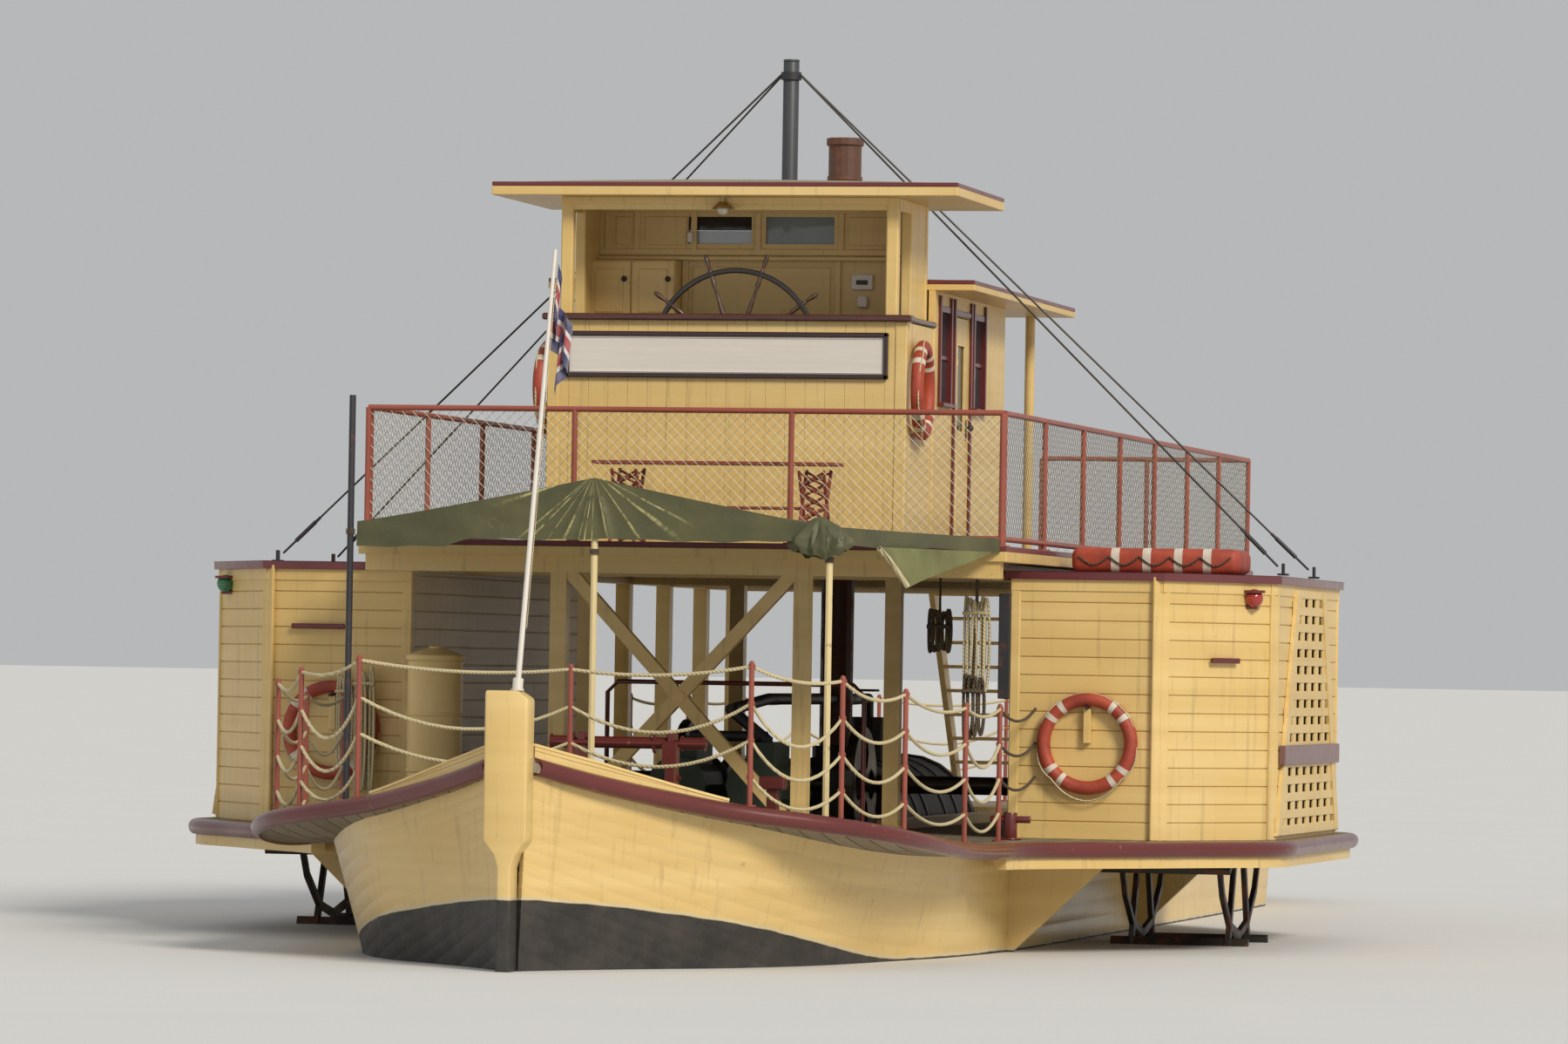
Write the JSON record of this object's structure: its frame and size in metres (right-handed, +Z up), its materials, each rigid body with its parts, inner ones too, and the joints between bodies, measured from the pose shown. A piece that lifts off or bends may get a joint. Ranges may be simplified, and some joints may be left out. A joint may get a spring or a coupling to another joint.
{
  "type": "paddle steamer",
  "caption": "Side-wheel river paddle steamer with planked hull, box-covered wheels on sponsons, upper deck with wheelhouse and deckhouse, mast, funnel and foredeck canopy",
  "frame": {"origin": "centre of the hull's flat bottom, in metres", "axes": "+Z up, bow toward -Y, port side toward +X; the waterline is at z = 0.75"},
  "size_m": [8.6148, 21.9974, 7.58],
  "materials": {
    "cream_timber": "cream gloss paint on planks, weathered",
    "cream_pole": "cream paint on steel pipe",
    "cream_drum": "cream paint on sheet steel",
    "deck_planks": "grey weathered deck planks",
    "platform_boards": "varnished boards",
    "maroon_timber": "maroon gloss paint on hardwood",
    "maroon_iron": "maroon paint on cast iron",
    "rail_pipe": "red oxide paint on steel pipe",
    "rail_rope": "laid rope on painted pipe stanchions",
    "black_iron": "black painted iron",
    "bright_steel": "oiled steel",
    "engine_iron": "dark green painted iron",
    "boiler_plate": "black heat paint on plate",
    "funnel_plate": "rusty brown heat paint",
    "wheel_wood": "dark varnished hardwood",
    "mast_paint": "dark grey painted spar",
    "stay_wire": "tarred steel wire",
    "canopy_canvas": "green tarpaulin",
    "lifebuoy_orange": "orange canvas covered ring",
    "staff_paint": "white paint",
    "flag_cloth": "limp woven flag"
  },
  "bodies": {
    "boat": {"hull": "cream_timber", "stem_post": "cream_timber", "paddle_box_port": "cream_timber", "paddle_box_starboard": "cream_timber", "paddle_box_grille_port": "cream_timber", "paddle_box_grille_starboard": "cream_timber", "upper_deck_frame": "cream_timber", "companion_stair": "cream_timber", "wheelhouse_front": "cream_timber", "wheelhouse_port": "cream_timber", "wheelhouse_starboard": "cream_timber", "wheelhouse_rear": "cream_timber", "wheelhouse_roof": "cream_timber", "deckhouse_port": "cream_timber", "deckhouse_starboard": "cream_timber", "deckhouse_aft": "cream_timber", "deckhouse_roof": "cream_timber", "canopy_pole_centre": "cream_pole", "canopy_pole_port": "cream_pole", "foredeck_drum": "cream_drum", "main_deck": "deck_planks", "upper_deck": "deck_planks", "steering_platform": "platform_boards", "guard_strake": "maroon_timber", "windlass_frame": "maroon_iron", "upper_rail_forward": "rail_pipe", "upper_rail_port": "rail_pipe", "upper_rail_starboard": "rail_pipe", "foredeck_rope_rail_port": "rail_rope", "foredeck_rope_rail_starboard": "rail_rope", "stern_rope_rail": "rail_rope", "shaft_bearing_port": "black_iron", "shaft_bearing_starboard": "black_iron", "engine": "engine_iron", "boiler": "boiler_plate", "funnel": "funnel_plate", "mast": "mast_paint", "mast_stays": "stay_wire", "canopy_pole_starboard": "stay_wire", "foredeck_canopy": "canopy_canvas", "box_lifebuoy_port": "lifebuoy_orange", "box_lifebuoy_starboard": "lifebuoy_orange", "wheelhouse_lifebuoy_port": "lifebuoy_orange", "wheelhouse_lifebuoy_starboard": "lifebuoy_orange", "life_float": "lifebuoy_orange", "flagstaff": "staff_paint", "bow_flag": "flag_cloth"},
    "paddle_wheels": {"paddle_shaft": "bright_steel", "paddle_wheel_port": "black_iron", "paddle_wheel_starboard": "black_iron"},
    "crankshaft": {"flywheel": "bright_steel"},
    "rudder": {"rudder": "cream_timber"},
    "steering_wheel": {"steering_wheel": "wheel_wood"},
    "windlass_barrel": {"windlass_barrel": "maroon_iron"},
    "deckhouse_door_port": {"deckhouse_door_port": "cream_timber"},
    "deckhouse_door_starboard": {"deckhouse_door_starboard": "cream_timber"}
  },
  "joints": [
    {"name": "paddle_wheels_turn", "type": "hinge", "parent": "boat", "child": "paddle_wheels", "pos_m": [0, -2.35, 1.93], "axis": [1, 0, 0], "continuous": true},
    {"name": "crankshaft_turn", "type": "hinge", "parent": "boat", "child": "crankshaft", "pos_m": [0, -2.956, 1.93], "axis": [1, 0, 0], "continuous": true},
    {"name": "rudder_turn", "type": "hinge", "parent": "boat", "child": "rudder", "pos_m": [0, 10.01, 1], "axis": [0, 0, 1], "range_deg": [-35, 35]},
    {"name": "steering_wheel_turn", "type": "hinge", "parent": "boat", "child": "steering_wheel", "pos_m": [0, -4.265, 5.2], "axis": [0, 1, 0], "range_deg": [-350, 350]},
    {"name": "windlass_turn", "type": "hinge", "parent": "boat", "child": "windlass_barrel", "pos_m": [0, -7.5, 2.27], "axis": [1, 0, 0], "continuous": true},
    {"name": "deckhouse_door_port_swing", "type": "hinge", "parent": "boat", "child": "deckhouse_door_port", "pos_m": [1.39, -2.64, 4.6], "axis": [0, 0, -1], "range_deg": [0, 100]},
    {"name": "deckhouse_door_starboard_swing", "type": "hinge", "parent": "boat", "child": "deckhouse_door_starboard", "pos_m": [-1.39, -2.64, 4.6], "axis": [0, 0, 1], "range_deg": [0, 100]}
  ],
  "couplings": [
    {"joint": "crankshaft_turn", "follows": "paddle_wheels_turn", "ratio": -4},
    {"joint": "steering_wheel_turn", "follows": "rudder_turn", "ratio": 10}
  ]
}
